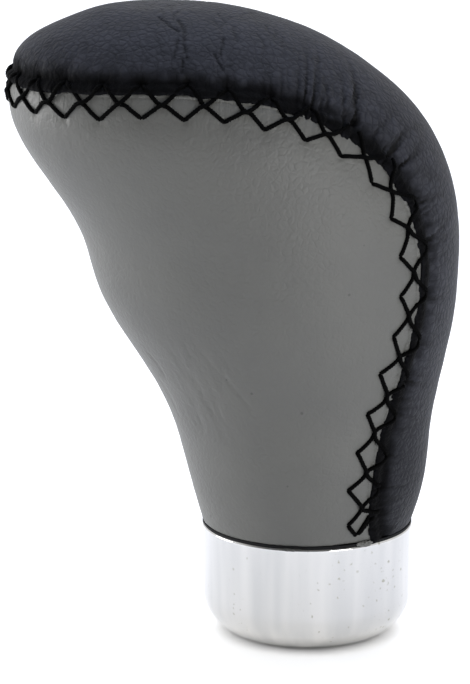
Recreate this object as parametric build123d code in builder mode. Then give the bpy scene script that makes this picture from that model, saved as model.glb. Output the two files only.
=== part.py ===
from build123d import *
import os
from math import radians, sin

os.makedirs("parts", exist_ok=True)

# Gear shift knob: a hooked hand grip covered in two laced leather panels, on a chromed foot collar.
# Millimetres, +Z up the lever. The nose points along -X and Y = 0 is the mirror plane.
# The origin is the centre of the mouth of the lever's thread.

# Foot collar, a turned cup that stands a little below the thread's mouth
collar_radius = 16.5
collar_taper = 0.2
collar_height = 17.65
collar_wall = 2.0
collar_seat = 2.1
collar_rim_round = 0.4
foot_ring_width = 1.4
foot_recess = 0.4

# Flanged sleeve with the lever's thread, M10 x 1.25 at its minor diameter
thread_minor_radius = 4.35
insert_wall = 2.15
insert_length = 34.0
flange_ledge = 1.7
flange_thickness = 2.0
flange_clearance = 0.2
shank_clearance = 0.15
drive_slot_width = 2.4
drive_slot_depth = 1.0
lever_room = 6.0

# Ring between the leather hem and the collar, set in a little from the collar's side
ring_thickness = 0.35
ring_inset = 0.1
spigot_clearance = 0.2

# Leather and the glue line under it
leather_thickness = 1.3
glue_line = 0.1
seam_gap = 0.5

# Grip outline: each rise is the height above the level before it, each reach is from the lever axis
hem_step = 0.2
hem_rise = 5.0
hem_bulge = 1.5
waist_rise = 12.0
waist_front = 21.1
waist_back = 19.4
waist_half_width = 19.2
flare_rise = 9.0
flare_front = 25.7
finger_bump_rise = 12.0
finger_bump_front = 32.6
finger_hollow_rise = 8.0
finger_hollow_front = 35.0
chin_rise = 14.0
chin_front = 43.7
nose_rise = 8.8
nose_reach = 46.2
back_drop = 24.3
back_reach = 23.35
widest_drop = 8.8
grip_half_width = 22.8
crown_rise = 12.8
crown_setback = 22.5
crown_fullness = 1.015
section_count = 16

# Seam between the panels in side view, set in from the back and from the nose
seam_foot_margin = 6.1
seam_waist_margin = 8.7
seam_back_margin = 6.9
seam_shoulder_margin = 15.7
seam_shoulder_drop = 6.0
seam_bend_margin = 25.85
seam_bend_drop = 0.9
seam_top_rise = 1.75
seam_nose_rise = 1.0
seam_overrun = 3.0

# Lacing: crosses of thread, which meet a little to the grey side of the black panel's edge
lace_pitch = 6.2
lace_offset = 1.5
lace_grey_reach = 2.2
lace_black_reach = 4.0
lace_end_margin = 4.0
lace_hole_gap = 0.45
hole_line_steps = 60
thread_radius = 0.32
thread_sides = 6
thread_lift = 0.22
lace_cross_gap = 0.12

insert_radius = thread_minor_radius + insert_wall
flange_radius = insert_radius + flange_ledge
recess_radius = flange_radius + flange_clearance
foot_radius = collar_radius - collar_taper
foot_round = foot_radius - recess_radius - foot_ring_width
foot_z = -foot_recess
collar_top_z = foot_z + collar_height
collar_floor_z = flange_thickness + collar_seat
hem_z = collar_top_z + ring_thickness
hem_radius = collar_radius - hem_step
spigot_radius = collar_radius - collar_wall - spigot_clearance
waist_height = hem_rise + waist_rise
flare_height = waist_height + flare_rise
finger_bump_height = flare_height + finger_bump_rise
finger_hollow_height = finger_bump_height + finger_hollow_rise
chin_height = finger_hollow_height + chin_rise
nose_height = chin_height + nose_rise
back_height = nose_height - back_drop
widest_height = nose_height - widest_drop
crown_height = nose_height + crown_rise


def outline(knots, crown_x, inset):
    """Half outline of the grip from hem to crown: a smooth line up to the widest knot, then a full round."""
    end_reach, end_height = knots[-1]
    round_reach = end_reach - inset - crown_x
    round_rise = crown_height - inset - end_height
    shoulder = crown_fullness * sin(radians(45))
    with BuildLine() as line:
        Spline([(reach - inset, height) for reach, height in knots], tangents=[(hem_bulge, hem_rise), (0, 1)])
        Spline(
            [
                (crown_x + round_reach, end_height),
                (crown_x + shoulder * round_reach, end_height + shoulder * round_rise),
                (crown_x, end_height + round_rise),
            ],
            tangents=[(0, 1), (-1, 0)],
        )
    return line.wire()


def reach_at(line, height):
    """Reach of an outline at a height, found by halving because every outline climbs steadily."""
    low, high = 0.0, 1.0
    for _ in range(40):
        middle = (low + high) / 2
        if (line @ middle).Y < height:
            low = middle
        else:
            high = middle
    return (line @ low).X


def grip_form(inset):
    """Whole grip as a loft of ellipses, with its surface set in by the given depth."""
    hem = (hem_radius, 0)
    bulge = (hem_radius + hem_bulge, hem_rise)
    front = outline(
        [
            hem,
            bulge,
            (waist_front, waist_height),
            (flare_front, flare_height),
            (finger_bump_front, finger_bump_height),
            (finger_hollow_front, finger_hollow_height),
            (chin_front, chin_height),
            (nose_reach, nose_height),
        ],
        crown_setback,
        inset,
    )
    back = outline([hem, bulge, (waist_back, waist_height), (back_reach, back_height)], -crown_setback, inset)
    side = outline([hem, bulge, (waist_half_width, waist_height), (grip_half_width, widest_height)], 0, inset)
    top = crown_height - inset
    with BuildPart() as form:
        sections = []
        for step in range(section_count):
            height = top * sin(radians(90 * step / section_count))
            to_front = reach_at(front, height)
            to_back = reach_at(back, height)
            with BuildSketch(Plane(((to_back - to_front) / 2, 0, hem_z + height))) as section:
                Ellipse((to_front + to_back) / 2, reach_at(side, height))
            sections.append(section.sketch)
        loft([*sections, Vertex(-crown_setback, 0, hem_z + top)])
    return form.part


# Chromed collar: a cup with a round lower edge, a recess for the sleeve's flange and a hole for its shank
with BuildPart() as chrome_collar:
    with BuildSketch(Plane.XZ) as wall:
        with BuildLine():
            Polyline(
                (insert_radius + shank_clearance, flange_thickness),
                (recess_radius, flange_thickness),
                (recess_radius, foot_z),
                (foot_radius, foot_z),
                (collar_radius, collar_top_z),
                (collar_radius - collar_wall, collar_top_z),
                (collar_radius - collar_wall, collar_floor_z),
                (insert_radius + shank_clearance, collar_floor_z),
                close=True,
            )
        make_face()
        floor_corner = wall.vertices().group_by(Axis.Y)[-2].sort_by(Axis.X)[-1]
        fillet(floor_corner, foot_round - collar_wall)
        fillet(wall.vertices().group_by(Axis.Y)[-1], collar_rim_round)
        foot_corner = wall.vertices().group_by(Axis.Y)[0].sort_by(Axis.X)[-1]
        fillet(foot_corner, foot_round)
    revolve(axis=Axis.Z)

# Threaded sleeve: shank up into the core, flange under the collar's floor, two slots for the driver
with BuildPart() as lever_insert:
    Cylinder(insert_radius, insert_length, align=(Align.CENTER, Align.CENTER, Align.MIN))
    Cylinder(flange_radius, flange_thickness, align=(Align.CENTER, Align.CENTER, Align.MIN))
    Box(
        2 * recess_radius,
        drive_slot_width,
        drive_slot_depth,
        align=(Align.CENTER, Align.CENTER, Align.MIN),
        mode=Mode.SUBTRACT,
    )
    Cylinder(
        thread_minor_radius,
        insert_length,
        align=(Align.CENTER, Align.CENTER, Align.MIN),
        mode=Mode.SUBTRACT,
    )

# Joint ring, round the core's spigot between the collar's rim and the hem
with BuildPart() as joint_ring:
    with BuildSketch(Plane.XY.offset(collar_top_z)):
        Circle(collar_radius - ring_inset)
        Circle(spigot_radius, mode=Mode.SUBTRACT)
    extrude(amount=ring_thickness)

# Moulded core: the grip set in by the leather, with a spigot down to the collar's floor and a blind bore
with BuildPart() as core:
    add(grip_form(leather_thickness + glue_line))
    with BuildSketch(Plane.XY.offset(hem_z)):
        Circle(spigot_radius)
    extrude(amount=collar_floor_z - hem_z)
    spigot_edge = core.edges().group_by(Axis.Z)[0]
    fillet(spigot_edge, foot_round - collar_wall + spigot_clearance)
    with BuildSketch(Plane.XY.offset(collar_floor_z)):
        Circle(insert_radius)
    extrude(amount=insert_length + lever_room - collar_floor_z, mode=Mode.SUBTRACT)

# Leather: one skin over the core, cut into two panels by a narrow slot along the seam
with BuildPart() as leather_skin:
    add(grip_form(0))
    add(grip_form(leather_thickness), mode=Mode.SUBTRACT)
    with BuildSketch(Plane.XZ):
        with BuildLine():
            Spline(
                (hem_radius - seam_foot_margin, hem_z - seam_overrun),
                (waist_back - seam_waist_margin, hem_z + waist_height),
                (back_reach - seam_back_margin, hem_z + back_height),
                (back_reach - seam_shoulder_margin, hem_z + nose_height - seam_shoulder_drop),
                (back_reach - seam_bend_margin, hem_z + nose_height - seam_bend_drop),
                (-crown_setback, hem_z + nose_height + seam_top_rise),
                (-nose_reach - seam_overrun, hem_z + nose_height + seam_nose_rise),
            )
        trace(line_width=seam_gap)
    extrude(amount=2 * grip_half_width, both=True, mode=Mode.SUBTRACT)
panels = leather_skin.solids().sort_by(Axis.Z)

with BuildPart() as grey_leather:
    add(panels[0])

with BuildPart() as black_leather:
    add(panels[-1])

# Lacing: the near half of the line of holes in the grey panel, which has one at every pitch
skin = grip_form(0).faces().sort_by(SortBy.AREA)[-1]
seam_edge = black_leather.edges().sort_by(SortBy.LENGTH)[-1]


def beside(line, station, reach):
    """Point on the skin, at a length along a line on it and a reach to the grey side of that line."""
    on_line = line.position_at(station, position_mode=PositionMode.LENGTH)
    along = line.tangent_at(station, position_mode=PositionMode.LENGTH)
    to_grey = skin.normal_at(on_line).cross(along)
    return skin.closest_points(on_line + to_grey * reach)[0]


with BuildLine() as hole_line:
    seam_step = (seam_edge.length - lace_end_margin) / hole_line_steps
    seam_stations = [lace_end_margin + seam_step * step for step in range(hole_line_steps + 1)]
    Spline([beside(seam_edge, station, lace_offset + lace_grey_reach) for station in seam_stations])
grey_holes = hole_line.edge()
cross_count = round(grey_holes.length / lace_pitch)
cross_length = grey_holes.length / cross_count


def lace_point(station, reach, lift):
    """Point over the skin, at a length along the grey holes and a reach across the seam from them."""
    on_skin = beside(grey_holes, station, -reach)
    return on_skin + skin.normal_at(on_skin) * lift


def lace_leg(start, crossing, finish):
    """One leg of thread from a hole in one panel over the seam to a hole in the other."""
    with BuildPart() as leg:
        with BuildLine():
            Polyline(start, crossing, finish)
        with BuildSketch(Plane(start, z_dir=crossing - start)):
            RegularPolygon(thread_radius, thread_sides)
        sweep(transition=Transition.RIGHT)
    return leg.part


legs = []
on_skin_lift = thread_radius + thread_lift
over_leg_lift = on_skin_lift + 2 * thread_radius + lace_cross_gap
black_holes_reach = lace_grey_reach + lace_black_reach
for number in range(cross_count):
    before = cross_length * number + lace_hole_gap
    after = cross_length * (number + 1) - lace_hole_gap
    middle = (before + after) / 2
    legs.append(
        lace_leg(
            lace_point(before, 0, on_skin_lift),
            lace_point(middle, lace_grey_reach, on_skin_lift),
            lace_point(after, black_holes_reach, on_skin_lift),
        )
    )
    legs.append(
        lace_leg(
            lace_point(before, black_holes_reach, on_skin_lift),
            lace_point(middle, lace_grey_reach, over_leg_lift),
            lace_point(after, 0, on_skin_lift),
        )
    )

with BuildPart() as seam_lacing:
    add(legs)
    mirror(about=Plane.XZ)

chrome_collar.part.label = "chrome_collar"
export_step(chrome_collar.part, "parts/chrome_collar.step")
lever_insert.part.label = "lever_insert"
export_step(lever_insert.part, "parts/lever_insert.step")
joint_ring.part.label = "joint_ring"
export_step(joint_ring.part, "parts/joint_ring.step")
core.part.label = "core"
export_step(core.part, "parts/core.step")
grey_leather.part.label = "grey_leather"
export_step(grey_leather.part, "parts/grey_leather.step")
black_leather.part.label = "black_leather"
export_step(black_leather.part, "parts/black_leather.step")
seam_lacing.part.label = "seam_lacing"
export_step(seam_lacing.part, "parts/seam_lacing.step")
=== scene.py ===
import math

import bmesh
import bpy
import numpy as np
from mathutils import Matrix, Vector, noise
from mathutils.bvhtree import BVHTree
from mathutils.kdtree import KDTree


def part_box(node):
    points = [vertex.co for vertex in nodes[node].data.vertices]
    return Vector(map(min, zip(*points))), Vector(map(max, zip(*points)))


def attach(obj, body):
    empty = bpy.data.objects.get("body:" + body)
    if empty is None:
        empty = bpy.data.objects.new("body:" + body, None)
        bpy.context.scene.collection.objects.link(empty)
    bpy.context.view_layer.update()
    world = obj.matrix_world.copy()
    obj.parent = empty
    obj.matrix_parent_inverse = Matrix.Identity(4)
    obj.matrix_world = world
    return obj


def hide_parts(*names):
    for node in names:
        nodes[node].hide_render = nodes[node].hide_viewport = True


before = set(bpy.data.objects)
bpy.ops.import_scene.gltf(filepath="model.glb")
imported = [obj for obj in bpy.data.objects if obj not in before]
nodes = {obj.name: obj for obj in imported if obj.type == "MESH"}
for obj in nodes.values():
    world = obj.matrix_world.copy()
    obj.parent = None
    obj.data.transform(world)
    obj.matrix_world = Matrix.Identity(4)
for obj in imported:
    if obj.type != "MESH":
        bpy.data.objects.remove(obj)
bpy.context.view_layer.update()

# Moulded core: the hard body of black ABS under the leather, which gives the grip its hook.
# It shows only as a dark line down in the seam and inside the lever's bore.

mm = 0.001


def linear(hex_colour):
    """sRGB hex text to the linear colour that shader sockets take."""
    channels = [int(hex_colour[i:i + 2], 16) / 255 for i in (1, 3, 5)]
    return [c / 12.92 if c <= 0.04045 else ((c + 0.055) / 1.055) ** 2.4 for c in channels] + [1.0]


def add_node(tree, kind, inputs=None, **settings):
    """Adds one node, with its settings and with each input set to a value or linked to a socket."""
    node = tree.nodes.new(kind)
    for name, value in settings.items():
        setattr(node, name, value)
    for name, value in (inputs or {}).items():
        if isinstance(value, bpy.types.NodeSocket):
            tree.links.new(value, node.inputs[name])
        else:
            node.inputs[name].default_value = value
    return node


def start_finish(name, **sockets):
    """A new material, its node tree, its shader with constant sockets set, and the object coordinates."""
    finish = bpy.data.materials.new(name)
    finish.use_nodes = True
    shader = finish.node_tree.nodes["Principled BSDF"]
    for socket, value in sockets.items():
        shader.inputs[socket.replace("_", " ")].default_value = value
    place = add_node(finish.node_tree, "ShaderNodeTexCoord").outputs["Object"]
    return finish, finish.node_tree, shader, place


def speckled_finish(name, speck_size, detail, tones, strength, depth, **sockets):
    """A finish of two close tones in specks of a given size, which also stand up as a fine relief."""
    finish, tree, shader, place = start_finish(name, **sockets)
    specks = add_node(tree, "ShaderNodeTexNoise", {
        "Vector": place,
        "Scale": 1 / speck_size,
        "Detail": detail,
    })
    tone = add_node(tree, "ShaderNodeMix", {
        "Factor": specks.outputs["Fac"],
        6: linear(tones[0]),
        7: linear(tones[1]),
    }, data_type="RGBA")
    relief = add_node(tree, "ShaderNodeBump", {
        "Height": specks.outputs["Fac"],
        "Strength": strength,
        "Distance": depth,
    })
    tree.links.new(tone.outputs[2], shader.inputs["Base Color"])
    tree.links.new(relief.outputs["Normal"], shader.inputs["Normal"])
    return finish


# Moulded ABS: near black, with the faint satin texture of a sparked mould
moulded_abs = speckled_finish(
    "moulded_black_abs",
    speck_size=0.25 * mm,
    detail=2.0,
    tones=("#121213", "#1a1a1b"),
    strength=0.3,
    depth=0.03 * mm,
    Roughness=0.55,
)
nodes["core"].data.materials.clear()
nodes["core"].data.materials.append(moulded_abs)

# Threaded sleeve: a turned brass bush with a flange, screwed up through the collar into the core.
# The lever screws into its bore, and two slots across the flange take the driver.

thread_pitch = 1.25 * mm
thread_minor = 4.4 * mm
thread_major = 5.0 * mm
countersink = 5.25 * mm
countersink_depth = 0.9 * mm
flank_slope = 1.5
flank_start = 0.25
tap_foot = -1.0 * mm
tap_turns = 30
tap_steps = 48
rings_per_turn = 8


def new_piece(name, data):
    """Puts a mesh, curve, lamp or camera into the scene as an object of its own."""
    piece = bpy.data.objects.new(name, data)
    bpy.context.scene.collection.objects.link(piece)
    return piece


def keep_mesh(piece):
    """Applies a piece's modifiers: its evaluated shape becomes its plain mesh."""
    shown = piece.evaluated_get(bpy.context.evaluated_depsgraph_get())
    plain = bpy.data.meshes.new_from_object(shown)
    piece.modifiers.clear()
    piece.data = plain


def node_copy(node_name, piece_name):
    """A new piece from a CAD node, with its loose triangles merged to one shell."""
    shell = bmesh.new()
    shell.from_mesh(nodes[node_name].data)
    bmesh.ops.remove_doubles(shell, verts=shell.verts, dist=1e-6)
    mesh = bpy.data.meshes.new(piece_name)
    shell.to_mesh(mesh)
    shell.free()
    return new_piece(piece_name, mesh)


tap_points = []
tap_faces = []
ring_total = tap_turns * rings_per_turn
for ring in range(ring_total + 1):
    height = tap_foot + ring * thread_pitch / rings_per_turn
    for step in range(tap_steps):
        turn = step / tap_steps
        flank = abs(2 * ((height / thread_pitch - turn) % 1.0) - 1)
        depth = min(max(flank_slope * flank - flank_start, 0.0), 1.0)
        radius = thread_minor + (thread_major - thread_minor) * depth
        funnel = countersink - max(height, 0.0) / countersink_depth * (countersink - thread_minor)
        radius = max(radius, funnel)
        angle = 2 * math.pi * turn
        tap_points.append((radius * math.cos(angle), radius * math.sin(angle), height))
for ring in range(ring_total):
    for step in range(tap_steps):
        low = ring * tap_steps + step
        low_next = ring * tap_steps + (step + 1) % tap_steps
        tap_faces.append((low, low_next, low_next + tap_steps, low + tap_steps))
tap_faces.append(tuple(reversed(range(tap_steps))))
tap_faces.append(tuple(range(ring_total * tap_steps, (ring_total + 1) * tap_steps)))
tap_mesh = bpy.data.meshes.new("thread_tap")
tap_mesh.from_pydata(tap_points, [], tap_faces)
tap = new_piece("thread_tap", tap_mesh)

sleeve = node_copy("lever_insert", "threaded_sleeve")
cut = sleeve.modifiers.new("tapped_bore", "BOOLEAN")
cut.operation = "DIFFERENCE"
cut.solver = "EXACT"
cut.object = tap
keep_mesh(sleeve)
bpy.data.objects.remove(tap)

# Turned brass: a warm yellow metal, with fine rings from the tool and dull stains from handling
turned_brass, tree, shader, place = start_finish("turned_brass", Metallic=1.0)
tool_feed = 0.18 * mm
wave_period = math.pi / 10
stain_size = 3 * mm
rings = add_node(tree, "ShaderNodeTexWave", {
    "Vector": place,
    "Scale": wave_period / tool_feed,
    "Distortion": 0.4,
}, wave_type="RINGS", rings_direction="Z")
stain = add_node(tree, "ShaderNodeTexNoise", {"Vector": place, "Scale": 1 / stain_size, "Detail": 4.0})
tone = add_node(tree, "ShaderNodeMix", {
    "Factor": stain.outputs["Fac"],
    6: linear("#c9a557"),
    7: linear("#a17c38"),
}, data_type="RGBA")
dull = add_node(tree, "ShaderNodeMapRange", {"Value": stain.outputs["Fac"], "To Min": 0.22, "To Max": 0.42})
grooves = add_node(tree, "ShaderNodeBump", {
    "Height": rings.outputs["Fac"],
    "Strength": 0.25,
    "Distance": 0.02 * mm,
})
tree.links.new(tone.outputs[2], shader.inputs["Base Color"])
tree.links.new(dull.outputs["Result"], shader.inputs["Roughness"])
tree.links.new(grooves.outputs["Normal"], shader.inputs["Normal"])
sleeve.data.materials.clear()
sleeve.data.materials.append(turned_brass)
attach(sleeve, "root")
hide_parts("lever_insert")

# Foot collar: a cup turned from steel, polished and chromed, that closes the foot of the grip.
# It stands on a narrow rim, and the sleeve's flange sits up in a recess in its floor.

foot_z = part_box("chrome_collar")[0].z
rim_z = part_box("chrome_collar")[1].z
collar_radius = 16.5 * mm
foot_radius = 16.3 * mm
recess_radius = 8.4 * mm
shank_hole = 6.65 * mm
foot_round = 6.5 * mm
recess_top = 2.0 * mm
cup_floor = 4.1 * mm
cup_wall = 2.0 * mm
cup_round = 4.5 * mm
rim_round = 0.4 * mm
collar_steps = 160


def arc_points(centre, radius, start, finish, count):
    """Points of an arc in the half section, from one angle in degrees to another."""
    angles = np.radians(np.linspace(start, finish, count))
    return [(centre[0] + radius * math.cos(a), centre[1] + radius * math.sin(a)) for a in angles]


def turned_mesh(name, section, steps):
    """A closed shell from a half section of (radius, height) points, turned round the lever's axis."""
    points = []
    for radius, height in section:
        for step in range(steps):
            angle = 2 * math.pi * step / steps
            points.append((radius * math.cos(angle), radius * math.sin(angle), height))
    faces = []
    for ring in range(len(section)):
        above = (ring + 1) % len(section)
        for step in range(steps):
            after = (step + 1) % steps
            low = ring * steps
            high = above * steps
            faces.append((low + step, low + after, high + after, high + step))
    mesh = bpy.data.meshes.new(name)
    mesh.from_pydata(points, [], faces)
    shell = bmesh.new()
    shell.from_mesh(mesh)
    bmesh.ops.recalc_face_normals(shell, faces=shell.faces)
    shell.to_mesh(mesh)
    shell.free()
    mesh.shade_smooth()
    return mesh


wall_foot = (foot_radius, foot_z + foot_round)
wall_top = (collar_radius, rim_z - rim_round)
section = arc_points((foot_radius - foot_round, foot_z + foot_round), foot_round, -90, 0, 28)
section += [
    (foot_radius + (collar_radius - foot_radius) * t, wall_foot[1] + (wall_top[1] - wall_foot[1]) * t)
    for t in np.linspace(0.08, 0.96, 12)
]
section += arc_points((collar_radius - rim_round, rim_z - rim_round), rim_round, 0, 90, 7)
section += arc_points((collar_radius - cup_wall + rim_round, rim_z - rim_round), rim_round, 90, 180, 7)
section += [(collar_radius - cup_wall, cup_floor + cup_round)]
cup_centre = (collar_radius - cup_wall - cup_round, cup_floor + cup_round)
section += arc_points(cup_centre, -cup_round, 180, 90, 12)
section += [(shank_hole, cup_floor), (shank_hole, recess_top)]
section += [(recess_radius, recess_top), (recess_radius, foot_z)]
collar = new_piece("foot_collar", turned_mesh("foot_collar", section, collar_steps))

# Polished chrome: bright and neutral, hazed by handling, with specks where the plating has pitted, and
# upright bands of painted reflection
polished_chrome, tree, shader, place = start_finish("polished_chrome", Metallic=1.0)
haze_size = 5 * mm
worn_size = 7 * mm
reflection_band_width = 4 * mm
reflection_band_length = 45 * mm
pit_spacing = 1.0 * mm
pit_drift = 0.7 * mm
pit_wander = add_node(tree, "ShaderNodeTexNoise", {"Vector": place, "Scale": 1 / (0.6 * mm), "Detail": 2.0})
pit_place = add_node(tree, "ShaderNodeVectorMath", {
    0: pit_wander.outputs["Color"],
    1: (pit_drift, pit_drift, pit_drift),
    2: place,
}, operation="MULTIPLY_ADD")
haze = add_node(tree, "ShaderNodeTexNoise", {"Vector": place, "Scale": 1 / haze_size, "Detail": 5.0})
pits = add_node(tree, "ShaderNodeTexVoronoi", {
    "Vector": pit_place.outputs["Vector"],
    "Scale": 1 / pit_spacing,
})
pit_size = add_node(tree, "ShaderNodeSeparateColor", {"Color": pits.outputs["Color"]})
worn = add_node(tree, "ShaderNodeTexNoise", {"Vector": place, "Scale": 1 / worn_size, "Detail": 2.0})
worn_side = add_node(tree, "ShaderNodeMapRange", {
    "Value": worn.outputs["Fac"],
    "From Min": 0.22,
    "From Max": 0.75,
    "To Min": 0.0,
    "To Max": 0.34,
})
round_collar = add_node(tree, "ShaderNodeSeparateXYZ", {"Vector": place})
gripped_side = add_node(tree, "ShaderNodeMapRange", {
    "Value": round_collar.outputs["X"],
    "From Min": -4 * mm,
    "From Max": 9 * mm,
    "To Min": 0.9,
    "To Max": 1.6,
})
pit_share = add_node(tree, "ShaderNodeMath", {
    0: worn_side.outputs["Result"],
    1: gripped_side.outputs["Result"],
}, operation="MULTIPLY")
pit_radius = add_node(tree, "ShaderNodeMath", {
    0: pit_size.outputs["Red"],
    1: pit_share.outputs["Value"],
}, operation="MULTIPLY")
pit_depth = add_node(tree, "ShaderNodeMath", {
    0: pit_radius.outputs["Value"],
    1: pits.outputs["Distance"],
}, operation="SUBTRACT")
pit_mask = add_node(tree, "ShaderNodeMapRange", {
    "Value": pit_depth.outputs["Value"],
    "From Min": 0.0,
    "From Max": 0.2,
})
# Painted reflection: long upright bands of lighter and darker tone, standing in for the surroundings
# reflected in the chrome.
reflection_band_place = add_node(tree, "ShaderNodeVectorMath", {
    0: place,
    1: (1 / reflection_band_width, 1 / reflection_band_width, 1 / reflection_band_length),
}, operation="MULTIPLY")
reflection_streaks = add_node(tree, "ShaderNodeTexNoise", {
    "Vector": reflection_band_place.outputs["Vector"],
    "Scale": 1.0,
    "Detail": 2.0,
})
painted_reflection_bands = add_node(tree, "ShaderNodeMapRange", {
    "Value": reflection_streaks.outputs["Fac"],
    "From Min": 0.35,
    "From Max": 0.65,
})
reflection_banded_tone = add_node(tree, "ShaderNodeMix", {
    "Factor": painted_reflection_bands.outputs["Result"],
    6: linear("#c7c7c6"),
    7: linear("#d5d4d2"),
}, data_type="RGBA")
tone = add_node(tree, "ShaderNodeMix", {
    "Factor": pit_mask.outputs["Result"],
    6: reflection_banded_tone.outputs[2],
    7: linear("#aeaca2"),
}, data_type="RGBA")
dull = add_node(tree, "ShaderNodeMapRange", {"Value": haze.outputs["Fac"], "To Min": 0.06, "To Max": 0.16})
pit_dent = add_node(tree, "ShaderNodeBump", {
    "Height": pit_mask.outputs["Result"],
    "Strength": 0.5,
    "Distance": 0.03 * mm,
}, invert=True)
tree.links.new(tone.outputs[2], shader.inputs["Base Color"])
tree.links.new(dull.outputs["Result"], shader.inputs["Roughness"])
tree.links.new(pit_dent.outputs["Normal"], shader.inputs["Normal"])
collar.data.materials.append(polished_chrome)
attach(collar, "root")
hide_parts("chrome_collar")

# Joint ring: a thin washer of black rubber, nipped between the collar's rim and the leather's hem.
# It is set in a little from the collar's side and shows as a dark line.

# Moulded rubber: dull black, with a little dust in its skin
black_rubber = speckled_finish(
    "moulded_black_rubber",
    speck_size=0.8 * mm,
    detail=4.0,
    tones=("#040405", "#101012"),
    strength=0.4,
    depth=0.05 * mm,
    Roughness=0.7,
    Specular_IOR_Level=0.2,
)
nodes["joint_ring"].data.materials.clear()
nodes["joint_ring"].data.materials.append(black_rubber)

# Glue bead: contact cement that was squeezed out under the ring and dried as a thin glossy strip.
# It lies along the collar's rim at the front, stuck to the chrome.


def pressed_lump(name, angles, heights, radii, waver, offset):
    """A small closed lump on the collar's side, within given angles in degrees, heights and radii."""
    shell = bmesh.new()
    bmesh.ops.create_icosphere(shell, subdivisions=4, radius=1.0)
    for vert in shell.verts:
        along, up, out = vert.co
        swell = 1 + waver * noise.noise(Vector((along * 4, up, out)) + Vector(offset))
        angle = math.radians(angles[0] + (angles[1] - angles[0]) * (1 + along) / 2)
        height = sum(heights) / 2 + (heights[1] - heights[0]) / 2 * up * swell
        radius = sum(radii) / 2 + (radii[1] - radii[0]) / 2 * out * swell
        vert.co = (radius * math.cos(angle), radius * math.sin(angle), height)
    mesh = bpy.data.meshes.new(name)
    shell.to_mesh(mesh)
    shell.free()
    mesh.shade_smooth()
    return new_piece(name, mesh)


bead_angles = (-109, -89)
bead_heights = (rim_z - 0.36 * mm, rim_z + 0.08 * mm)
bead_radii = (16.2 * mm, 16.68 * mm)
bead = pressed_lump("glue_bead", bead_angles, bead_heights, bead_radii, waver=0.5, offset=(3, 1, 2))

# Dried cement: dark grey and glossy, with small bubbles
dried_cement = speckled_finish(
    "dried_contact_cement",
    speck_size=0.5 * mm,
    detail=2.0,
    tones=("#1f2022", "#6d6d69"),
    strength=0.6,
    depth=0.15 * mm,
    Roughness=0.14,
)
bead.data.materials.append(dried_cement)
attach(bead, "root")

# Grey panel: one piece of smooth cowhide, wetted and drawn round the front and sides of the core.
# Its edge is punched and laced to the black panel, so it dips at each hole and swells between them.

grey_voxel = 0.37 * mm


def surface_of(mesh):
    """Search tree over a mesh's faces."""
    points = [v.co.copy() for v in mesh.vertices]
    return BVHTree.FromPolygons(points, [tuple(p.vertices) for p in mesh.polygons])


def point_array(mesh):
    """Vertex places of a mesh as an array."""
    points = np.empty(len(mesh.vertices) * 3)
    mesh.vertices.foreach_get("co", points)
    return points.reshape(-1, 3)


def set_points(mesh, points):
    """Moves a mesh's vertices to the places of an array."""
    mesh.vertices.foreach_set("co", np.ascontiguousarray(points, dtype=np.float32).ravel())
    mesh.update()


def relax(mesh, rounds):
    """Smooths a mesh without shrinking it, by a push in and a slightly larger push out each round."""
    points = point_array(mesh)
    ends = np.empty(len(mesh.edges) * 2, dtype=np.int64)
    mesh.edges.foreach_get("vertices", ends)
    first, second = ends.reshape(-1, 2).T
    count = np.bincount(first, minlength=len(points)) + np.bincount(second, minlength=len(points))
    for _ in range(rounds):
        for pull in (0.5, -0.52):
            around = np.empty_like(points)
            for axis in range(3):
                around[:, axis] = np.bincount(first, points[second, axis], len(points))
                around[:, axis] += np.bincount(second, points[first, axis], len(points))
            points = points + pull * (around / count[:, None] - points)
    set_points(mesh, points)


def distance_to(surface, points, reach):
    """Distance of each point from a surface, up to a reach."""
    found = [surface.find_nearest(p, reach)[3] for p in points]
    return np.array([reach if d is None else d for d in found])


def step_up(value, low, high):
    """Smooth step from 0 to 1 between two values."""
    t = np.clip((value - low) / (high - low), 0, 1)
    return t * t * (3 - 2 * t)


def leather_skin(node_name, piece_name, voxel):
    """A panel's solid as an even closed mesh, smoothed, and coarser on the glued side that never shows."""
    piece = node_copy(node_name, piece_name)
    even = piece.modifiers.new("even_mesh", "REMESH")
    even.mode = "VOXEL"
    even.voxel_size = voxel
    keep_mesh(piece)
    relax(piece.data, 18)
    glued = distance_to(core_surface, point_array(piece.data), 4 * mm) < 0.5 * mm
    group = piece.vertex_groups.new(name="glued_side")
    group.add(np.flatnonzero(glued).tolist(), 1.0, "REPLACE")
    thin = piece.modifiers.new("coarse_glued_side", "DECIMATE")
    thin.vertex_group = group.name
    thin.ratio = 1 - 0.9 * glued.mean()
    keep_mesh(piece)
    piece.vertex_groups.clear()
    return piece


def drawn_along(surface, points, near, reach, pull):
    """Moves points towards a surface, most at the near distance and not at all past the reach."""
    moved = points.copy()
    for i, point in enumerate(points):
        place, _, _, gap = surface.find_nearest(point, reach)
        if place is not None and gap > 0:
            share = min(1.0, (reach - gap) / (reach - near)) ** 1.5
            moved[i] += (np.array(place) - point) / gap * pull[i] * share
    return moved


def crease_dip(points, line, depth, width):
    """Dip along a crease, given as a line of points on the skin."""
    dip = np.zeros(len(points))
    for first, last in zip(line, line[1:]):
        run = last - first
        share = np.clip((points - first) @ run / (run @ run), 0, 1)
        gap = np.linalg.norm(points - first - share[:, None] * run, axis=1)
        dip = np.maximum(dip, depth * np.exp(-(gap / width) ** 2))
    return dip


def skin_point(surface, start, towards):
    """The first point of a skin that is met from a start in mm, looking along a direction."""
    return np.array(surface.ray_cast(Vector(start) * mm, Vector(towards))[0])


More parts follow.
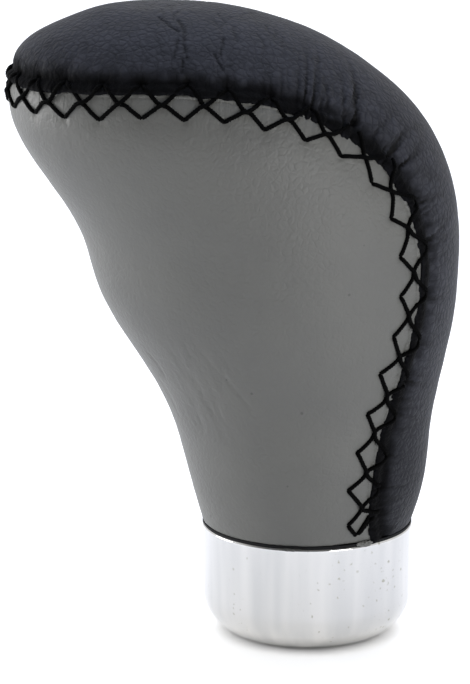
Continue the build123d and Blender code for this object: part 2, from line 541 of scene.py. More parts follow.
def lace_legs():
    """Start, crossing and finish of each leg of thread, from the solids of the lacing."""
    shell = bmesh.new()
    shell.from_mesh(nodes["seam_lacing"].data)
    bmesh.ops.remove_doubles(shell, verts=shell.verts, dist=1e-6)
    shell.verts.ensure_lookup_table()
    seen = set()
    legs = []
    for first in range(len(shell.verts)):
        if first in seen:
            continue
        seen.add(first)
        island = [first]
        for index in island:
            for edge in shell.verts[index].link_edges:
                other = edge.other_vert(shell.verts[index]).index
                if other not in seen:
                    seen.add(other)
                    island.append(other)
        points = np.array([shell.verts[i].co for i in sorted(island)])
        middle = points.mean(axis=0)
        axis = np.linalg.svd(points - middle)[2][0]
        order = points[np.argsort((points - middle) @ axis)]
        third = len(order) // 3
        thirds = (order[:third], order[third:-third], order[-third:])
        legs.append([share.mean(axis=0) for share in thirds])
    shell.free()
    return np.array(legs)


def merged(points, reach):
    """Points that lie within a reach of each other, merged to their middles."""
    left = list(range(len(points)))
    middles = []
    while left:
        near = [i for i in left if np.linalg.norm(points[i] - points[left[0]]) < reach]
        middles.append(points[near].mean(axis=0))
        left = [i for i in left if i not in near]
    return np.array(middles)


core_surface = surface_of(nodes["core"].data)
grey_solid = surface_of(nodes["grey_leather"].data)
black_solid = surface_of(nodes["black_leather"].data)

# The lacing holes of both panels and the crossings of the thread, with the holes punched a little unevenly
legs = lace_legs()
for leg in legs:
    if grey_solid.find_nearest(leg[0])[3] > grey_solid.find_nearest(leg[2])[3]:
        leg[:] = leg[::-1].copy()
same_hole = 1.6 * mm
grey_holes = merged(legs[:, 0], same_hole)
black_holes = merged(legs[:, 2], same_hole)
crossings = merged(legs[:, 1], same_hole)
dice = np.random.default_rng(2)
grey_holes += dice.normal(0, 0.14, grey_holes.shape) * mm
black_holes += dice.normal(0, 0.2, black_holes.shape) * mm

# The crossings in order, from the foot on the near side over the nose to the foot on the far side
near_side = [i for i in range(len(crossings)) if crossings[i][1] < 0]
order = [min(near_side, key=lambda i: crossings[i][2])]
while len(order) < len(crossings):
    waiting = [i for i in range(len(crossings)) if i not in order]
    order.append(min(waiting, key=lambda i: np.linalg.norm(crossings[i] - crossings[order[-1]])))
crossings = crossings[order]

# The seam as one smooth line through the crossings, run on past both ends to the hem
run_on = 2 * crossings[:1] - crossings[1:2]
run_off = 2 * crossings[-1:] - crossings[-2:-1]
lead_in = 2 * run_on - crossings[:1]
lead_out = 2 * run_off - crossings[-1:]
knots = np.concatenate([lead_in, run_on, crossings, run_off, lead_out])
seam_steps = 16
seam_points = []
for k in range(1, len(knots) - 2):
    a, b, c, d = knots[k - 1:k + 3]
    square = 2 * a - 5 * b + 4 * c - d
    cube = 3 * b - a - 3 * c + d
    for t in np.linspace(0, 1, seam_steps, endpoint=False):
        seam_points.append(0.5 * (2 * b + (c - a) * t + square * t ** 2 + cube * t ** 3))
seam_points = np.array(seam_points)
seam_lengths = np.concatenate([[0], np.cumsum(np.linalg.norm(np.diff(seam_points, axis=0), axis=1))])
seam_finder = KDTree(len(seam_points))
for i, point in enumerate(seam_points):
    seam_finder.insert(point, i)
seam_finder.balance()


def seam_place(points):
    """Length along the seam line and distance from it for each point."""
    found = [seam_finder.find(p) for p in points]
    return np.array([seam_lengths[f[1]] for f in found]), np.array([f[2] for f in found])


def soft_noise(points, size, offset):
    """Smooth noise of a given size at each point, from about -1 to 1."""
    return np.array([noise.noise(Vector(p) / size + Vector(offset)) for p in points])


def set_field(mesh, name, values):
    """Keeps one value for each vertex, for the material to read."""
    field = mesh.attributes.new(name, "FLOAT", "POINT")
    field.data.foreach_set("value", np.ascontiguousarray(values, dtype=np.float32))


def hole_dips(points, holes, depth, radius):
    """How far the leather is drawn in round its lacing holes."""
    dip = np.zeros(len(points))
    for hole in holes:
        away = np.linalg.norm(points - hole, axis=1)
        dip += depth * np.exp(-(away / radius) ** 2)
    return dip


def rolled(distance, depth, reach):
    """How far an edge is rolled under, falling to nothing at a reach from it."""
    return depth * np.clip(1 - distance / reach, 0, 1) ** 2


def ridge(distance, height, at, width):
    """A soft ridge of a given height and width, at a distance from the edge or the seam."""
    return height * np.exp(-((distance - at) / width) ** 2)


def skin_normals(mesh):
    """Vertex normals of a mesh as an array."""
    values = np.empty(len(mesh.vertices) * 3, dtype=np.float32)
    mesh.vertex_normals.foreach_get("vector", values)
    return values.reshape(-1, 3).astype(np.float64)


grey_panel = leather_skin("grey_leather", "grey_panel", grey_voxel)
points = point_array(grey_panel.data)
outward = skin_normals(grey_panel.data)
face_side = step_up(distance_to(core_surface, points, 4 * mm), 0.6 * mm, 1.2 * mm)
edge_away = distance_to(black_solid, points, 12 * mm)
along, away = seam_place(points)
edge_roll = rolled(edge_away, depth=0.65 * mm, reach=1.5 * mm)
puff = ridge(edge_away, height=0.14 * mm, at=2.4 * mm, width=1.3 * mm)
seam_sink = ridge(away, height=0.3 * mm, at=0.0, width=2.6 * mm)
dips = hole_dips(points, grey_holes, depth=0.4 * mm, radius=0.55 * mm)
dips += hole_dips(points, grey_holes, depth=0.12 * mm, radius=1.6 * mm)
dips += hole_dips(points, crossings, depth=0.2 * mm, radius=0.8 * mm)
uneven = 0.1 * mm * soft_noise(points, 11 * mm, (3.1, 7.7, 1.9))
uneven += 0.035 * mm * soft_noise(points, 3.5 * mm, (9, 2, 5))
uneven += 0.02 * mm * soft_noise(points, 1.4 * mm, (2, 8, 4))

# Creases at the front of the waist, where the hide was squeezed round the narrowing core, in mm:
# two long ones and a patch of fine wrinkles, each as a line in side view with its depth and width
wrinkle_count = 40
creases = [
    ([(-13.1, 45.1), (-10.9, 42.6), (-8.7, 39.8)], 0.16, 0.34),
    ([(-24.6, 46.7), (-23.1, 45.0), (-22.2, 43.3)], 0.12, 0.32),
]
dice = np.random.default_rng(3)
for _ in range(wrinkle_count):
    x, z = dice.uniform(-22.5, -13.5), dice.uniform(36, 52)
    length = dice.uniform(1.5, 4.0)
    slant = dice.uniform(0.35, 0.75)
    line = [(x, z), (x + slant * length / 2, z - length / 2), (x + slant * length * 0.9, z - length)]
    creases.append((line, dice.uniform(0.03, 0.07), dice.uniform(0.35, 0.6)))
creased = np.zeros(len(points))
for line, depth, width in creases:
    for side in (-1, 1):
        on_skin = [skin_point(grey_solid, (x, side * 60, z), (0, -side, 0)) for x, z in line]
        creased += crease_dip(points, np.array(on_skin), depth * mm, width * mm)

lift = face_side * (puff - edge_roll - seam_sink - dips - creased + uneven)
edge_pull = np.full(len(points), 0.7 * mm)
points = drawn_along(black_solid, points, near=0.5 * mm, reach=3.4 * mm, pull=edge_pull)
set_points(grey_panel.data, points + outward * lift[:, None])
set_field(grey_panel.data, "seam_near", np.exp(-edge_away / (3.2 * mm)))
set_field(grey_panel.data, "along", along / mm)
set_field(grey_panel.data, "away", away / mm)
grey_panel.data.shade_smooth()


def hide_grain(tree, place, grain_size, valley, fine_detail):
    """Heights of a hide's grain: cells with wandering edges and valleys between them, and a fine roughness.

    A hide's finest grain is too small to show in the picture, so both are drawn a little coarse.
    """
    wander_size = 1.2 * mm
    wander_reach = 0.5 * mm
    fine_size = 0.8 * mm
    wander = add_node(tree, "ShaderNodeTexNoise", {"Vector": place, "Scale": 1 / wander_size, "Detail": 1.0})
    grain_place = add_node(tree, "ShaderNodeVectorMath", {
        0: wander.outputs["Color"],
        1: (wander_reach, wander_reach, wander_reach),
        2: place,
    }, operation="MULTIPLY_ADD")
    edges = add_node(tree, "ShaderNodeTexVoronoi", {
        "Vector": grain_place.outputs["Vector"],
        "Scale": 1 / grain_size,
    }, feature="DISTANCE_TO_EDGE")
    cells = add_node(tree, "ShaderNodeMapRange", {"Value": edges.outputs["Distance"], "From Max": valley})
    fine = add_node(tree, "ShaderNodeTexNoise", {
        "Vector": place,
        "Scale": 1 / fine_size,
        "Detail": fine_detail,
    })
    return cells.outputs["Result"], fine.outputs["Fac"]


def seam_gathers(tree, width, length, scale, distortion):
    """Height of the fine gathers that run off from the lacing, with their width and length in mm."""
    along_seam = add_node(tree, "ShaderNodeAttribute", attribute_name="along")
    from_seam = add_node(tree, "ShaderNodeAttribute", attribute_name="away")
    near_seam = add_node(tree, "ShaderNodeAttribute", attribute_name="seam_near")
    across = add_node(tree, "ShaderNodeMath", {0: along_seam.outputs["Fac"], 1: width}, operation="DIVIDE")
    down = add_node(tree, "ShaderNodeMath", {0: from_seam.outputs["Fac"], 1: length}, operation="DIVIDE")
    place = add_node(tree, "ShaderNodeCombineXYZ", {"X": across.outputs[0], "Y": down.outputs[0]})
    lines = add_node(tree, "ShaderNodeTexNoise", {
        "Vector": place.outputs[0],
        "Scale": scale,
        "Detail": 3.0,
        "Distortion": distortion,
    })
    height = add_node(tree, "ShaderNodeMath", {
        0: lines.outputs["Fac"],
        1: near_seam.outputs["Fac"],
    }, operation="MULTIPLY")
    return height.outputs[0]


def hide_relief(tree, shader, layers):
    """Lays a hide's layers of relief over each other, each a height, a strength and a depth."""
    under = {}
    for height, strength, depth in layers:
        layer = add_node(tree, "ShaderNodeBump", {
            "Height": height,
            "Strength": strength,
            "Distance": depth,
            **under,
        })
        under = {"Normal": layer.outputs["Normal"]}
    tree.links.new(under["Normal"], shader.inputs["Normal"])


# Grey cowhide: smooth and matt, a fine tight grain with a few pores, and short wrinkles by the lacing
grey_cowhide, tree, shader, place = start_finish("grey_cowhide", Roughness=0.5)
pore_spacing = 5.5 * mm
mottle_size = 8 * mm
cells, fine = hide_grain(tree, place, grain_size=1.0 * mm, valley=0.22, fine_detail=2.0)
gathers = seam_gathers(tree, width=1.3, length=6.0, scale=1.6, distortion=0.6)
mottle = add_node(tree, "ShaderNodeTexNoise", {"Vector": place, "Scale": 1 / mottle_size, "Detail": 3.0})
pores = add_node(tree, "ShaderNodeTexVoronoi", {"Vector": place, "Scale": 1 / pore_spacing})
pore_mask = add_node(tree, "ShaderNodeMapRange", {
    "Value": pores.outputs["Distance"],
    "From Min": 0.03,
    "From Max": 0.05,
    "To Min": 0.5,
    "To Max": 0.0,
})
tone = add_node(tree, "ShaderNodeMix", {
    "Factor": mottle.outputs["Fac"],
    6: linear("#636360"),
    7: linear("#6d6d68"),
}, data_type="RGBA")
pored = add_node(tree, "ShaderNodeMix", {
    "Factor": pore_mask.outputs["Result"],
    6: tone.outputs[2],
    7: linear("#3a3a39"),
}, data_type="RGBA")
tree.links.new(pored.outputs[2], shader.inputs["Base Color"])
hide_relief(tree, shader, [
    (gathers, 0.8, 0.45 * mm),
    (cells, 0.5, 0.05 * mm),
    (fine, 0.6, 0.12 * mm),
])
grey_panel.data.materials.clear()
grey_panel.data.materials.append(grey_cowhide)
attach(grey_panel, "root")
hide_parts("grey_leather")

# Hem trimming: a shaving of the grey hide, left over the ring by the seam when the hem was trimmed.
# It is stuck down flat across the joint, half on the collar's rim.

trimming_angles = (-63.5, -53)
trimming_heights = (rim_z - 0.25 * mm, rim_z + 0.62 * mm)
trimming_radii = (16.2 * mm, 16.72 * mm)
trimming = pressed_lump(
    "hem_trimming", trimming_angles, trimming_heights, trimming_radii, waver=0.7, offset=(5, 2, 7)
)
trimming.data.materials.append(grey_cowhide)
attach(trimming, "root")

# Black panel: a softer hide drawn over the crown and down the back, gathered into its lacing.
# Pleats run from the holes up into the skin, longest round the shoulder where there is most to take in.

black_voxel = 0.3 * mm
dice = np.random.default_rng(11)

black_panel = leather_skin("black_leather", "black_panel", black_voxel)
points = point_array(black_panel.data)
outward = skin_normals(black_panel.data)
face_side = step_up(distance_to(core_surface, points, 4 * mm), 0.6 * mm, 1.2 * mm)
edge_away = distance_to(grey_solid, points, 25 * mm)
along, away = seam_place(points)
edge_roll = rolled(edge_away, depth=0.35 * mm, reach=1.3 * mm)
puff = ridge(edge_away, height=0.3 * mm, at=1.4 * mm, width=0.9 * mm)
seam_sink = ridge(away, height=0.3 * mm, at=0.0, width=3.2 * mm)
seam_sink += ridge(edge_away, height=0.4 * mm, at=2.3 * mm, width=0.8 * mm)
dips = hole_dips(points, black_holes, depth=0.7 * mm, radius=0.6 * mm)
dips += hole_dips(points, black_holes, depth=0.2 * mm, radius=1.8 * mm)

# Pleats from each hole and between the holes: place along the seam, lean, length, depth and width
hole_along = np.sort(seam_place(black_holes)[0])
shoulder_foot = 60
pleats = []
for station in hole_along:
    place_at = seam_points[np.argmin(abs(seam_lengths - station))] / mm
    fullness = math.exp(-((place_at[0] - 4) / 15) ** 2) if place_at[2] > shoulder_foot else 0.35
    for shift in (0.0, -2.4, -1.2, 1.1, 2.3):
        strong = (1.0 if shift == 0 else 0.6) * (0.4 + 0.6 * fullness)
        pleats.append((
            station + (shift + dice.uniform(-0.6, 0.6)) * mm,
            dice.uniform(-0.25, 0.25),
            dice.uniform(3.0, 6.0) * (0.6 + 1.1 * fullness) * mm,
            dice.uniform(0.25, 0.45) * strong * mm,
            dice.uniform(0.22, 0.36) * mm,
        ))
gathered = np.zeros(len(points))
for station, lean, length, depth, width in pleats:
    sideways = along - station - lean * edge_away
    spread = width * (1 + 0.05 * edge_away / mm)
    fade = np.exp(-(edge_away / length) ** 2) * step_up(edge_away, 0.2 * mm, 1.2 * mm)
    gathered -= depth * np.exp(-(sideways / spread) ** 2) * fade
    gathered += 0.35 * depth * np.exp(-((abs(sideways) - 1.6 * spread) / spread) ** 2) * fade
uneven = 0.12 * mm * soft_noise(points, 10 * mm, (1.3, 5.2, 8.8))
uneven += 0.05 * mm * soft_noise(points, 3 * mm, (4, 6, 2))
crumpled = np.exp(-edge_away / (2.6 * mm)) * step_up(edge_away, 0.5 * mm, 1.6 * mm)
uneven += 0.18 * mm * soft_noise(points, 1.2 * mm, (6, 9, 3)) * crumpled

# Creases pressed into the crown by the palm, seen from above in mm, with finer ones crossing between them
palm_crease_depth = 0.19
fine_crease_count = 44
crease_width = 0.22 * mm
crown_creases = [
    [(-22.7, -7.6), (-20.9, -10.4), (-19.7, -11.5)],
    [(-19.9, -8.5), (-18.9, -11.1), (-18.9, -13.3)],
    [(-19.8, -13.2), (-20.4, -16.2)],
    [(-18.9, -13.9), (-18.4, -16.2)],
    [(-19.0, -16.3), (-19.2, -17.8)],
    [(-13.0, -12.1), (-13.5, -15.2)],
    [(-14.4, -15.0), (-13.1, -17.1)],
    [(-16.0, 9.0), (-14.8, 12.0), (-15.2, 15.0)],
    [(-25.0, 11.0), (-23.0, 14.5)],
]
crown_depths = [palm_crease_depth] * len(crown_creases)
for _ in range(fine_crease_count):
    x, y = dice.uniform(-26, -3), dice.uniform(-15, 9)
    run, drift, bend = dice.uniform(1.0, 3.0), dice.normal(0, 0.8), dice.normal(0, 0.6)
    crown_creases.append([(x, y), (x + drift, y + run), (x + 2 * drift + bend, y + 2 * run)])
    crown_depths.append(dice.uniform(0.03, 0.1))
creased = np.zeros(len(points))
for line, depth in zip(crown_creases, crown_depths):
    on_skin = [skin_point(black_solid, (x, y, 130), (0, 0, -1)) for x, y in line]
    creased += crease_dip(points, np.array(on_skin), depth * mm, crease_width)

# The edge stands up as a thin lip, drawn over the seam, most round the shoulder
lift = face_side * (puff - edge_roll - seam_sink - dips + gathered - creased + uneven)
shoulder = np.exp(-((points[:, 0] - 6 * mm) / (7 * mm)) ** 2) * step_up(points[:, 2], 60 * mm, 68 * mm)
ragged = 0.6 * mm * soft_noise(points, 2.6 * mm, (7, 3, 1)) + 0.1 * mm
lip = (0.4 + 0.45 * shoulder) * mm * np.clip(1 - edge_away / (2.2 * mm), 0, 1)
lift += face_side * lip
edge_pull = 1.0 * mm * shoulder + ragged
points = drawn_along(grey_solid, points, near=0.5 * mm, reach=3.0 * mm, pull=edge_pull)
set_points(black_panel.data, points + outward * lift[:, None])

# The strip along the edge is painted dark as painted shade, wider at the nose and at the foot
seam_shade_reach = 2.4 * mm + 0.9 * mm * step_up(-points[:, 0], -6 * mm, 8 * mm)
seam_shade_reach += 0.5 * mm * step_up(-points[:, 0], 24 * mm, 36 * mm)
seam_shade_reach += 1.0 * mm * (1 - step_up(points[:, 2], 26 * mm, 46 * mm))
seam_shade_reach += 0.9 * mm * soft_noise(points, 1.8 * mm, (5, 1, 3))
seam_shade_share = 1 - step_up(edge_away, 0.6 * seam_shade_reach, 1.4 * seam_shade_reach)
seam_shade_share = seam_shade_share * (0.75 + 0.25 * step_up(edge_away, 0.4 * mm, 1.1 * mm))
fold_shade_depth = 0.22 * mm
set_field(black_panel.data, "painted_seam_shade", seam_shade_share)
# Painted shade: the creases, pleats and hole dips are darkened in colour through this field.
set_field(black_panel.data, "painted_fold_shade", np.clip((creased - gathered + 0.4 * dips) / fold_shade_depth, 0, 1))
set_field(black_panel.data, "seam_near", np.exp(-edge_away / (4.5 * mm)))
set_field(black_panel.data, "along", along / mm)
set_field(black_panel.data, "away", away / mm)
black_panel.data.shade_smooth()

# Black hide: dyed through with a soft blue-black sheen, a visible grain, and fine pleats by the lacing.
# It is painted darker towards the foot as painted shade, and its grain valleys, folds and the strip along the
# seam are painted shade too.
black_hide, tree, shader, place = start_finish("black_hide", Specular_IOR_Level=0.11)
mottle_size = 3 * mm
cells, fine = hide_grain(tree, place, grain_size=1.15 * mm, valley=0.25, fine_detail=3.0)
gathers = seam_gathers(tree, width=1.6, length=9.0, scale=1.5, distortion=0.5)
fold_shade_field = add_node(tree, "ShaderNodeAttribute", attribute_name="painted_fold_shade")
painted_seam_shade = add_node(tree, "ShaderNodeAttribute", attribute_name="painted_seam_shade")
mottle = add_node(tree, "ShaderNodeTexNoise", {
    "Vector": place,
    "Scale": 1 / mottle_size,
    "Detail": 5.0,
    "Roughness": 0.65,
})
patches = add_node(tree, "ShaderNodeMapRange", {
    "Value": mottle.outputs["Fac"],
    "From Min": 0.3,
    "From Max": 0.7,
})
tone = add_node(tree, "ShaderNodeMix", {
    "Factor": patches.outputs["Result"],
    6: linear("#2a2b30"),
    7: linear("#3c3d44"),
}, data_type="RGBA")
up_knob = add_node(tree, "ShaderNodeSeparateXYZ", {"Vector": place})
# Painted shade: darker towards the foot.
foot_shade = add_node(tree, "ShaderNodeMapRange", {
    "Value": up_knob.outputs["Z"],
    "From Min": 24 * mm,
    "From Max": 56 * mm,
    "To Min": 0.6,
    "To Max": 0.0,
}, interpolation_type="SMOOTHSTEP")
foot_shaded_tone = add_node(tree, "ShaderNodeMix", {
    "Factor": foot_shade.outputs["Result"],
    6: tone.outputs[2],
    7: linear("#111216"),
}, data_type="RGBA")
# Painted shade: the grain's valleys are darkened in colour.
valley_shade = add_node(tree, "ShaderNodeMapRange", {"Value": cells, "To Min": 0.35, "To Max": 0.0})
valley_shaded_tone = add_node(tree, "ShaderNodeMix", {
    "Factor": valley_shade.outputs["Result"],
    6: foot_shaded_tone.outputs[2],
    7: linear("#101217"),
}, data_type="RGBA")
# Painted shade: the strip along the seam is darkened towards near black.
seam_shade_tone = add_node(tree, "ShaderNodeMix", {
    "Factor": painted_seam_shade.outputs["Fac"],
    6: valley_shaded_tone.outputs[2],
    7: linear("#030304"),
}, data_type="RGBA")
# Painted shade: folds darkened in colour towards near black.
fold_shade_tone = add_node(tree, "ShaderNodeMix", {
    "Factor": fold_shade_field.outputs["Fac"],
    6: seam_shade_tone.outputs[2],
    7: linear("#040405"),
}, data_type="RGBA")
gloss = add_node(tree, "ShaderNodeMapRange", {
    "Value": mottle.outputs["Fac"],
    "To Min": 0.46,
    "To Max": 0.6,
})
dull_edge = add_node(tree, "ShaderNodeMath", {
    0: painted_seam_shade.outputs["Fac"],
    1: 0.4,
    2: gloss.outputs["Result"],
}, operation="MULTIPLY_ADD")
tree.links.new(fold_shade_tone.outputs[2], shader.inputs["Base Color"])
tree.links.new(dull_edge.outputs["Value"], shader.inputs["Roughness"])
hide_relief(tree, shader, [
    (gathers, 0.9, 0.7 * mm),
    (cells, 0.7, 0.09 * mm),
    (fine, 0.7, 0.2 * mm),
])
black_panel.data.materials.clear()
black_panel.data.materials.append(black_hide)
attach(black_panel, "root")
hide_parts("black_leather")

# Lacing: waxed black thread, crossed over the seam from hole to hole and pulled down into the leather.
# Each leg comes up out of a hole in one panel, lies over the seam and goes down in the other.

thread_radius = 0.34 * mm
thread_sides = 10
thread_plies = 3
ply_depth = 0.14
twist_length = 1.3 * mm
thread_step = 0.28 * mm
hole_sink = 0.9 * mm
leg_places = (0.0, 0.06, 0.16, 0.3, 0.44, 0.5, 0.56, 0.7, 0.84, 0.94, 1.0)

grey_skin = surface_of(grey_panel.data)
black_skin = surface_of(black_panel.data)


def on_leather(point, lift):
    """The place on the panels under or over a given point, raised by a lift, or nothing where no panel is."""
    under = core_surface.find_nearest(point)
    up = (Vector(point) - under[0]).normalized()
    start = under[0] + up * 6 * mm
    hits = [skin.ray_cast(start, -up, 8 * mm) for skin in (grey_skin, black_skin)]
    reached = [h for h in hits if h[0] is not None and h[3] < 5.4 * mm]
    if not reached:
        return None
    nearest = min(reached, key=lambda h: h[3])
    return nearest[0] + up * lift


def lay_thread(stops):
    """Adds a line of thread that follows the leather under a row of points, each with its lift."""
    laid = [on_leather(point, lift) for point, lift in stops]
    laid = [place for place in laid if place is not None]
    spline = lacing_curve.splines.new("POLY")
    spline.points.add(len(laid) - 1)
    for control, place in zip(spline.points, laid):
        control.co = (*place, 1.0)


dice = np.random.default_rng(5)
leg_heights = distance_to(core_surface, legs[:, 1], 6 * mm)
lacing_curve = bpy.data.curves.new("seam_lacing_lines", "CURVE")
lacing_curve.dimensions = "3D"
for leg, height in zip(legs, leg_heights):
    is_over = height > 2.3 * mm
    grey_hole = grey_holes[np.argmin(np.linalg.norm(grey_holes - leg[0], axis=1))]
    black_hole = black_holes[np.argmin(np.linalg.norm(black_holes - leg[2], axis=1))]
    start = leg[0] + dice.uniform(0.95, 1.3) * (grey_hole - leg[0])
    finish = leg[2] + dice.uniform(0.9, 1.3) * (black_hole - leg[2])
    middle = leg[1] + dice.normal(0, 0.12, 3) * mm
    at = np.argmin(np.linalg.norm(seam_points - middle, axis=1))
    along_way = seam_points[at + 1] - seam_points[at - 1]
    along_way = along_way / np.linalg.norm(along_way)
    along_way = along_way * math.copysign(1.0, along_way @ (finish - start))
    wrap = along_way * dice.uniform(0.05, 0.6) * mm
    stops = []
    for t in leg_places:
        if t < 0.5:
            point = start + (middle - wrap - start) * t / 0.5
        elif t == 0.5:
            point = middle
        else:
            point = middle + wrap + (finish - middle - wrap) * (t - 0.5) / 0.5
        arch = 1 - abs(t - 0.5) / 0.5
        lift = thread_radius * (0.2 + 0.1 * arch)
        if is_over:
            lift += thread_radius * 1.1 * max(0.0, 1 - abs(t - 0.5) / 0.22)
        if t in (0.0, 1.0):
            lift = -hole_sink
        stops.append((point, lift))
    lay_thread(stops)

# At the foot of each side the thread runs from the lowest hole to the hem, and back up to the black edge
for end, inner in ((0, 1), (-1, -2)):
    down = crossings[end] - crossings[inner]
    down = down / np.linalg.norm(down)
    side = math.copysign(1.0, crossings[end][1])
    last_grey = min([h for h in grey_holes if h[1] * side > 0], key=lambda h: h[2])
    last_black = min([h for h in black_holes if h[1] * side > 0], key=lambda h: h[2])
    tie = crossings[end] + down * 5.1 * mm
    by_edge = crossings[end] + 0.5 * (last_black - crossings[end]) + down * 0.6 * mm
    for start in (last_grey, by_edge, 0.6 * by_edge + 0.4 * last_black):
        shares = np.linspace(0, 1, 7)
        lifts = [-hole_sink] + [0.35 * thread_radius] * 5 + [-hole_sink]
        lay_thread([(start + (tie - start) * t, lift) for t, lift in zip(shares, lifts)])
lacing_lines = new_piece("seam_lacing_lines", lacing_curve)

# Waxed thread: matt black, with a faint fuzz of paler fibres over its twisted plies
waxed_thread = speckled_finish(
    "waxed_black_thread",
    speck_size=0.3 * mm,
    detail=3.0,
    tones=("#010101", "#050505"),
    strength=0.4,
    depth=0.05 * mm,
    Roughness=0.75,
    Specular_IOR_Level=0.05,
)

twist = bpy.data.node_groups.new("twisted_thread", "GeometryNodeTree")
twist.interface.new_socket("Lines", in_out="INPUT", socket_type="NodeSocketGeometry")
sizes = {
    "Thread Radius": thread_radius,
    "Ply Depth": ply_depth,
    "Twist Length": twist_length,
    "Step": thread_step,
}
sockets = {}
for label in sizes:
    socket = twist.interface.new_socket(label, in_out="INPUT", socket_type="NodeSocketFloat")
    sockets[label] = socket.identifier
twist.interface.new_socket("Thread", in_out="OUTPUT", socket_type="NodeSocketGeometry")
given = add_node(twist, "NodeGroupInput")
rounded = add_node(twist, "GeometryNodeCurveSplineType", {
    "Curve": given.outputs["Lines"],
}, spline_type="CATMULL_ROM")
even = add_node(twist, "GeometryNodeResampleCurve", {
    "Curve": rounded.outputs["Curve"],
    "Length": given.outputs["Step"],
}, mode="LENGTH")
run = add_node(twist, "GeometryNodeSplineParameter")
turns = add_node(twist, "ShaderNodeMath", {
    0: run.outputs["Length"],
    1: given.outputs["Twist Length"],
}, operation="DIVIDE")
angle = add_node(twist, "ShaderNodeMath", {0: turns.outputs[0], 1: 2 * math.pi}, operation="MULTIPLY")
twisted = add_node(twist, "GeometryNodeSetCurveTilt", {
    "Curve": even.outputs["Curve"],
    "Tilt": angle.outputs[0],
})
ring = add_node(twist, "GeometryNodeCurvePrimitiveCircle", {
    "Resolution": thread_sides,
    "Radius": given.outputs["Thread Radius"],
})
place_in_ring = add_node(twist, "GeometryNodeSplineParameter")
ply_angle = add_node(twist, "ShaderNodeMath", {
    0: place_in_ring.outputs["Factor"],
    1: 2 * math.pi * thread_plies,
}, operation="MULTIPLY")
ply_wave = add_node(twist, "ShaderNodeMath", {0: ply_angle.outputs[0]}, operation="COSINE")
ply_swell = add_node(twist, "ShaderNodeMath", {
    0: ply_wave.outputs[0],
    1: given.outputs["Ply Depth"],
    2: 1.0,
}, operation="MULTIPLY_ADD")
ring_place = add_node(twist, "GeometryNodeInputPosition")
lobed_place = add_node(twist, "ShaderNodeVectorMath", {
    0: ring_place.outputs["Position"],
    "Scale": ply_swell.outputs[0],
}, operation="SCALE")
lobed = add_node(twist, "GeometryNodeSetPosition", {
    "Geometry": ring.outputs["Curve"],
    "Position": lobed_place.outputs["Vector"],
})
body = add_node(twist, "GeometryNodeCurveToMesh", {
    "Curve": twisted.outputs["Curve"],
    "Profile Curve": lobed.outputs["Geometry"],
    "Fill Caps": True,
})
smooth = add_node(twist, "GeometryNodeSetShadeSmooth", {"Geometry": body.outputs["Mesh"]})
solid = add_node(twist, "GeometryNodeRealizeInstances", {"Geometry": smooth.outputs["Geometry"]})
dressed = add_node(twist, "GeometryNodeSetMaterial", {
    "Geometry": solid.outputs["Geometry"],
    "Material": waxed_thread,
})
add_node(twist, "NodeGroupOutput", {"Thread": dressed.outputs["Geometry"]})
twisting = lacing_lines.modifiers.new("twisted_thread", "NODES")
twisting.node_group = twist
for label, value in sizes.items():
    twisting[sockets[label]] = value
shown = lacing_lines.evaluated_get(bpy.context.evaluated_depsgraph_get())
lacing = new_piece("seam_lacing_thread", bpy.data.meshes.new_from_object(shown))
lacing_lines.modifiers.clear()
bpy.data.objects.remove(lacing_lines)
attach(lacing, "root")
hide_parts("seam_lacing")

# Stage: white paper under the knob, a white light tent round it, and soft lamps at both sides and above.
# The camera stands where the picture was taken from.

floor_reach = 3.0
floor_mesh = bpy.data.meshes.new("floor")
corners = [(-1, -1), (1, -1), (1, 1), (-1, 1)]
floor_mesh.from_pydata([(x * floor_reach, y * floor_reach, foot_z) for x, y in corners], [], [(0, 1, 2, 3)])
floor = new_piece("floor", floor_mesh)
white_paper, tree, shader, floor_place = start_finish(
    "white_paper",
    Roughness=0.9,
    Specular_IOR_Level=0.1,
    Base_Color=linear("#f8f8f8"),
    Emission_Color=linear("#ffffff"),
)
rays = add_node(tree, "ShaderNodeLightPath")
seen_or_mirrored = add_node(tree, "ShaderNodeMath", {
    0: rays.outputs["Is Camera Ray"],
    1: rays.outputs["Is Glossy Ray"],
}, operation="ADD")
seen = add_node(tree, "ShaderNodeMath", {
    0: seen_or_mirrored.outputs[0],
    1: rays.outputs["Is Transmission Ray"],
}, operation="ADD", use_clamp=True)
paper_glow = 0.5
shadow_reach = 11.2 * mm
glow_reach = 16 * mm
from_knob = add_node(tree, "ShaderNodeVectorMath", {0: floor_place}, operation="LENGTH")
clear_of_knob = add_node(tree, "ShaderNodeMapRange", {
    "Value": from_knob.outputs["Value"],
    "From Min": shadow_reach,
    "From Max": glow_reach,
    "To Min": 0.0,
    "To Max": paper_glow,
}, interpolation_type="SMOOTHSTEP")
glow = add_node(tree, "ShaderNodeMath", {
    0: seen.outputs[0],
    1: clear_of_knob.outputs["Result"],
}, operation="MULTIPLY")
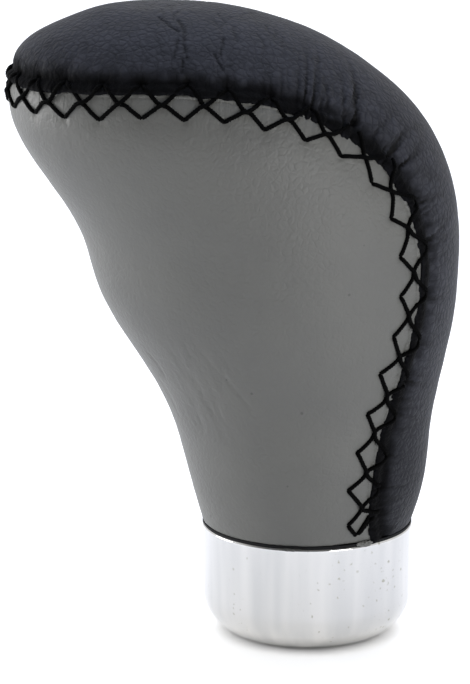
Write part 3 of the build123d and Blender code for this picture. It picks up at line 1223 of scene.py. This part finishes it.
tree.links.new(glow.outputs[0], shader.inputs["Emission Strength"])
floor_mesh.materials.append(white_paper)

tent_light = 0.95
opening_light = 0.17
opening_way = (-0.08, -0.77, 0.63)
tent = bpy.data.worlds.new("white_tent")
bpy.context.scene.world = tent
tent.use_nodes = True
tree = tent.node_tree
way = add_node(tree, "ShaderNodeTexCoord").outputs["Generated"]
facing = add_node(tree, "ShaderNodeVectorMath", {0: way, 1: opening_way}, operation="DOT_PRODUCT")
strength = add_node(tree, "ShaderNodeMapRange", {
    "Value": facing.outputs["Value"],
    "From Min": 0.18,
    "From Max": 0.82,
    "To Min": tent_light,
    "To Max": opening_light,
}, interpolation_type="SMOOTHSTEP")
tree.nodes["Background"].inputs["Color"].default_value = linear("#ffffff")
tree.links.new(strength.outputs["Result"], tree.nodes["Background"].inputs["Strength"])

lamp_aim = Vector((-0.01, 0, 0.05))


def soft_lamp(name, place, width, power, colour):
    """A square soft box aimed at the middle of the knob."""
    lamp = bpy.data.lights.new(name, "AREA")
    lamp.size = width
    lamp.energy = power
    lamp.color = linear(colour)[:3]
    holder = new_piece(name, lamp)
    holder.location = place
    holder.rotation_euler = (lamp_aim - Vector(place)).to_track_quat("-Z", "Y").to_euler()


soft_lamp("left_lamp", (-0.58, 0.12, 0.04), 0.25, 2.4, "#ffffff")
soft_lamp("right_lamp", (0.36, -0.5, 0.04), 0.25, 1.75, "#ffffff")
soft_lamp("top_lamp", (0.0, 0.25, 0.9), 0.9, 4.0, "#cbdaff")

focal_pixels = 3980
photo_height_pixels = 684
photo_camera = bpy.data.cameras.new("photo_camera")
camera = new_piece("photo_camera", photo_camera)
camera.location = (-0.0115, -0.6, 0.1956)
aim = Vector((-0.0113, 0.0, 0.0459))
camera.rotation_euler = (aim - camera.location).to_track_quat("-Z", "Y").to_euler()
photo_camera.sensor_width = 36.0
photo_camera.lens = focal_pixels * photo_camera.sensor_width / photo_height_pixels
bpy.context.scene.camera = camera
bpy.context.scene.view_settings.view_transform = "Standard"
